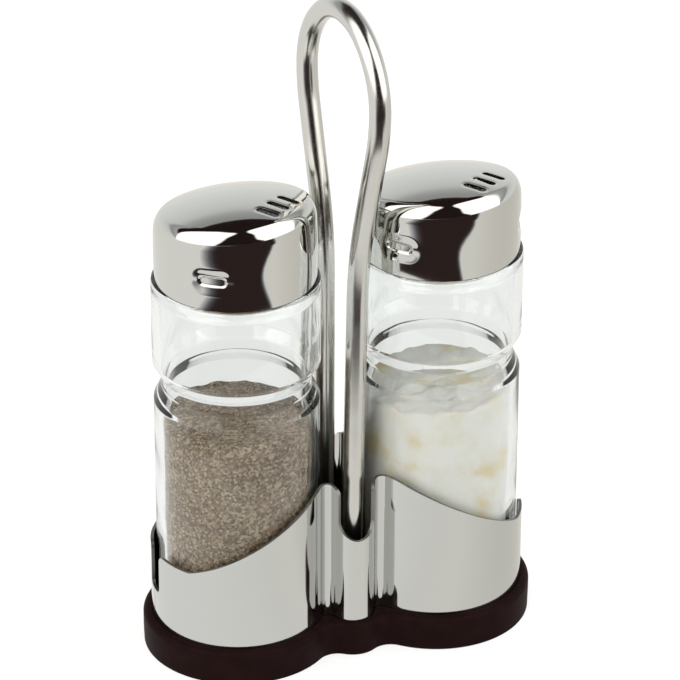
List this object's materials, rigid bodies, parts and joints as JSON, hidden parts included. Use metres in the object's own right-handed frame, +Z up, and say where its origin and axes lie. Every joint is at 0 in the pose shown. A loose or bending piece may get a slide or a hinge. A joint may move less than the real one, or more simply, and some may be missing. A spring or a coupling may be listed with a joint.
{
  "type": "salt and pepper set",
  "caption": "Salt and pepper set: glass shakers with slanted steel pouring caps standing in a carrier with polished steel panels, a dark plastic base and an upright wire loop handle.",
  "frame": {"origin": "middle of the stand on the surface it stands on; the shakers stand side by side along X, -Y is the front, +Z up", "axes": "+X from the pepper shaker to the salt shaker, +Y from the front to the back, +Z up"},
  "size_m": [0.0988, 0.0474, 0.1673],
  "materials": {
    "base_plastic": "satin near-black moulded plastic",
    "foot_rubber": "matt soft rubber pads",
    "panel_steel": "mirror-polished stainless steel sheet",
    "handle_steel": "polished stainless steel wire",
    "fastener_steel": "plain zinc-bright steel",
    "jar_glass": "clear pressed glass",
    "cap_steel": "mirror-polished stainless steel",
    "pepper_grounds": "dry speckled ground pepper",
    "salt_grains": "dry fine white salt"
  },
  "bodies": {
    "stand": {"base_moulding": "base_plastic", "non_slip_feet": "foot_rubber", "front_panel": "panel_steel", "rear_panel": "panel_steel", "wire_handle": "handle_steel", "handle_washers": "fastener_steel", "handle_nuts": "fastener_steel"},
    "pepper_shaker": {"pepper_jar": "jar_glass", "ground_pepper": "pepper_grounds"},
    "pepper_lid": {"pepper_cap": "cap_steel"},
    "salt_shaker": {"salt_jar": "jar_glass", "table_salt": "salt_grains"},
    "salt_lid": {"salt_cap": "cap_steel"}
  },
  "joints": [
    {"name": "pepper_shaker_lift", "type": "slide", "parent": "stand", "child": "pepper_shaker", "axis": [0, 0, 1], "range_m": [0, 0.165]},
    {"name": "salt_shaker_lift", "type": "slide", "parent": "stand", "child": "salt_shaker", "axis": [0, 0, 1], "range_m": [0, 0.165]},
    {"name": "pepper_cap_lift", "type": "slide", "parent": "pepper_shaker", "child": "pepper_lid", "axis": [0, 0, 1], "range_m": [0, 0.06]},
    {"name": "salt_cap_lift", "type": "slide", "parent": "salt_shaker", "child": "salt_lid", "axis": [0, 0, 1], "range_m": [0, 0.06]}
  ]
}
